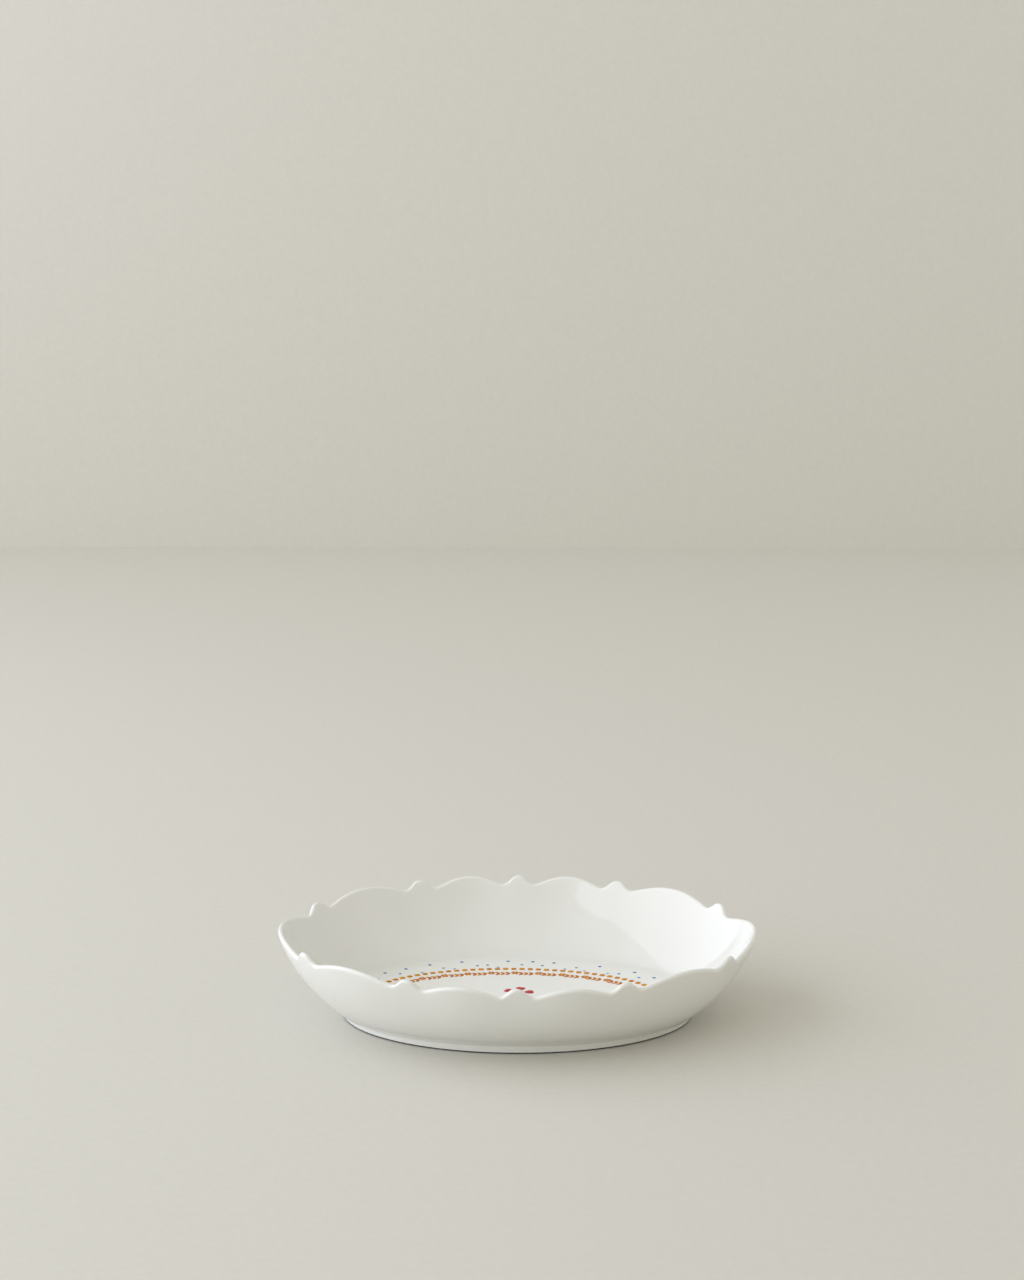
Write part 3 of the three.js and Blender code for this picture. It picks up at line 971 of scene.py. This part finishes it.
def plain_finish(name, tone):
    """A plain matt surface of the stage, with a faint grain."""
    material, shader, place = new_material(name)
    grain = span(material, noise(material, place, FLOOR_GRAINS, FINE_DETAIL), NOISE_SPAN, WHOLE)
    darker = [FLOOR_SHADE * value for value in tone[:3]] + [1.0]
    matt = {"Roughness": FLOOR_ROUGHNESS, "Specular IOR Level": FLOOR_GLOSS}
    set_inputs(material, shader, {"Base Color": mixed(material, grain, darker, tone), **matt})
    return material


def soft_panel(name, place, turn, size, power, tone):
    """A flat soft light, unseen by the camera itself."""
    light = bpy.data.lights.new(name, "AREA")
    light.shape = "RECTANGLE"
    light.size, light.size_y = size
    light.energy = power
    light.color = tone[:3]
    panel = bpy.data.objects.new(name, light)
    panel.location = place
    panel.rotation_euler = turn
    panel.visible_camera = False
    bpy.context.scene.collection.objects.link(panel)


def make_surfaces(stage, colours):
    """The floor, a hair under the plate's base, and the wall behind."""
    half = stage.floor_size / 2
    back = stage.wall_distance
    under = -FLOOR_SINK
    stage_plane(
        "floor",
        [(-half, -half, under), (half, -half, under), (half, back, under), (-half, back, under)],
        plain_finish("floor_plain", colours.floor),
    )
    stage_plane(
        "backdrop",
        [(-half, back, under), (half, back, under), (half, back, half), (-half, back, half)],
        plain_finish("backdrop_plain", colours.backdrop),
    )


def make_lights(scene, stage):
    """The soft light at the left, the fill at the right, the light overhead and the room's even light."""
    middle = stage.window_height / 2
    left = (-stage.window_distance, stage.window_forward, middle)
    right = (stage.window_distance, stage.board_forward, middle)
    above = (0.0, 0.0, stage.ceiling_height)
    window_size = (stage.window_width, stage.window_height)
    board_size = (stage.board_width, stage.window_height)
    ceiling_size = (stage.ceiling_size, stage.ceiling_size)
    tone = stage.window_colour
    soft_panel("window", left, FACING_RIGHT, window_size, stage.window_power, tone)
    soft_panel("fill_board", right, FACING_LEFT, board_size, stage.board_power, tone)
    soft_panel("ceiling", above, FACING_DOWN, ceiling_size, stage.ceiling_power, tone)
    world = bpy.data.worlds.new("room")
    scene.world = world
    world.use_nodes = True
    background = world.node_tree.nodes["Background"]
    background.inputs["Color"].default_value = stage.room_colour
    background.inputs["Strength"].default_value = stage.room_light


def make_camera(scene, stage):
    """The camera, turned a little round the plate and looking down at it."""
    lens = bpy.data.cameras.new("camera")
    lens.lens = stage.focal_length
    camera = bpy.data.objects.new("camera", lens)
    cosine, sine = math.cos(stage.camera_turn), math.sin(stage.camera_turn)
    camera.location = (
        stage.camera_aside * cosine + stage.camera_distance * sine,
        stage.camera_aside * sine - stage.camera_distance * cosine,
        stage.camera_height,
    )
    camera.rotation_euler = (QUARTER_TURN - stage.camera_pitch, 0.0, stage.camera_turn)
    scene.collection.objects.link(camera)
    scene.camera = camera


class PLATE_OT_stage(bpy.types.Operator):
    """Makes the floor, the wall behind, the lights and the camera"""

    bl_idname = "plate.stage"
    bl_label = "Make Stage"

    def execute(self, context):
        scene = context.scene
        stage = scene.plate_stage
        make_surfaces(stage, scene.plate_colours)
        make_lights(scene, stage)
        make_camera(scene, stage)
        scene.view_settings.view_transform = "Standard"
        return {"FINISHED"}


class PLATE_PT_panel(bpy.types.Panel):
    """Lists the plate's pieces and sizes"""

    bl_idname = "PLATE_PT_panel"
    bl_label = "Oval Serving Plate"
    bl_space_type = "VIEW_3D"
    bl_region_type = "UI"
    bl_category = "Plate"

    def draw(self, context):
        for operator in OPERATORS:
            self.layout.operator(operator.bl_idname)
        for settings in SETTINGS:
            box = self.layout.box()
            group = getattr(context.scene, settings)
            for name in group.bl_rna.properties.keys():
                if name not in ("rna_type", "name"):
                    box.prop(group, name)


SETTINGS = {
    "plate_shape": PlateShape,
    "plate_prints": PrintLayout,
    "plate_colours": PlateColours,
    "plate_stage": StageSettings,
}
OPERATORS = (
    PLATE_OT_dish,
    PLATE_OT_ring,
    PLATE_OT_stitches,
    PLATE_OT_dots,
    PLATE_OT_garland,
    PLATE_OT_blossom,
    PLATE_OT_stage,
)


def register():
    for group in (*SETTINGS.values(), *OPERATORS, PLATE_PT_panel):
        bpy.utils.register_class(group)
    for name, group in SETTINGS.items():
        setattr(bpy.types.Scene, name, bpy.props.PointerProperty(type=group))


def unregister():
    for name in SETTINGS:
        delattr(bpy.types.Scene, name)
    for group in (PLATE_PT_panel, *OPERATORS[::-1], *SETTINGS.values()):
        bpy.utils.unregister_class(group)


def main():
    register()
    bpy.ops.plate.stage()
    bpy.ops.plate.dish()
    bpy.ops.plate.ring()
    bpy.ops.plate.stitches()
    bpy.ops.plate.dots()
    bpy.ops.plate.garland()
    bpy.ops.plate.blossom()


if __name__ == "__main__":
    main()
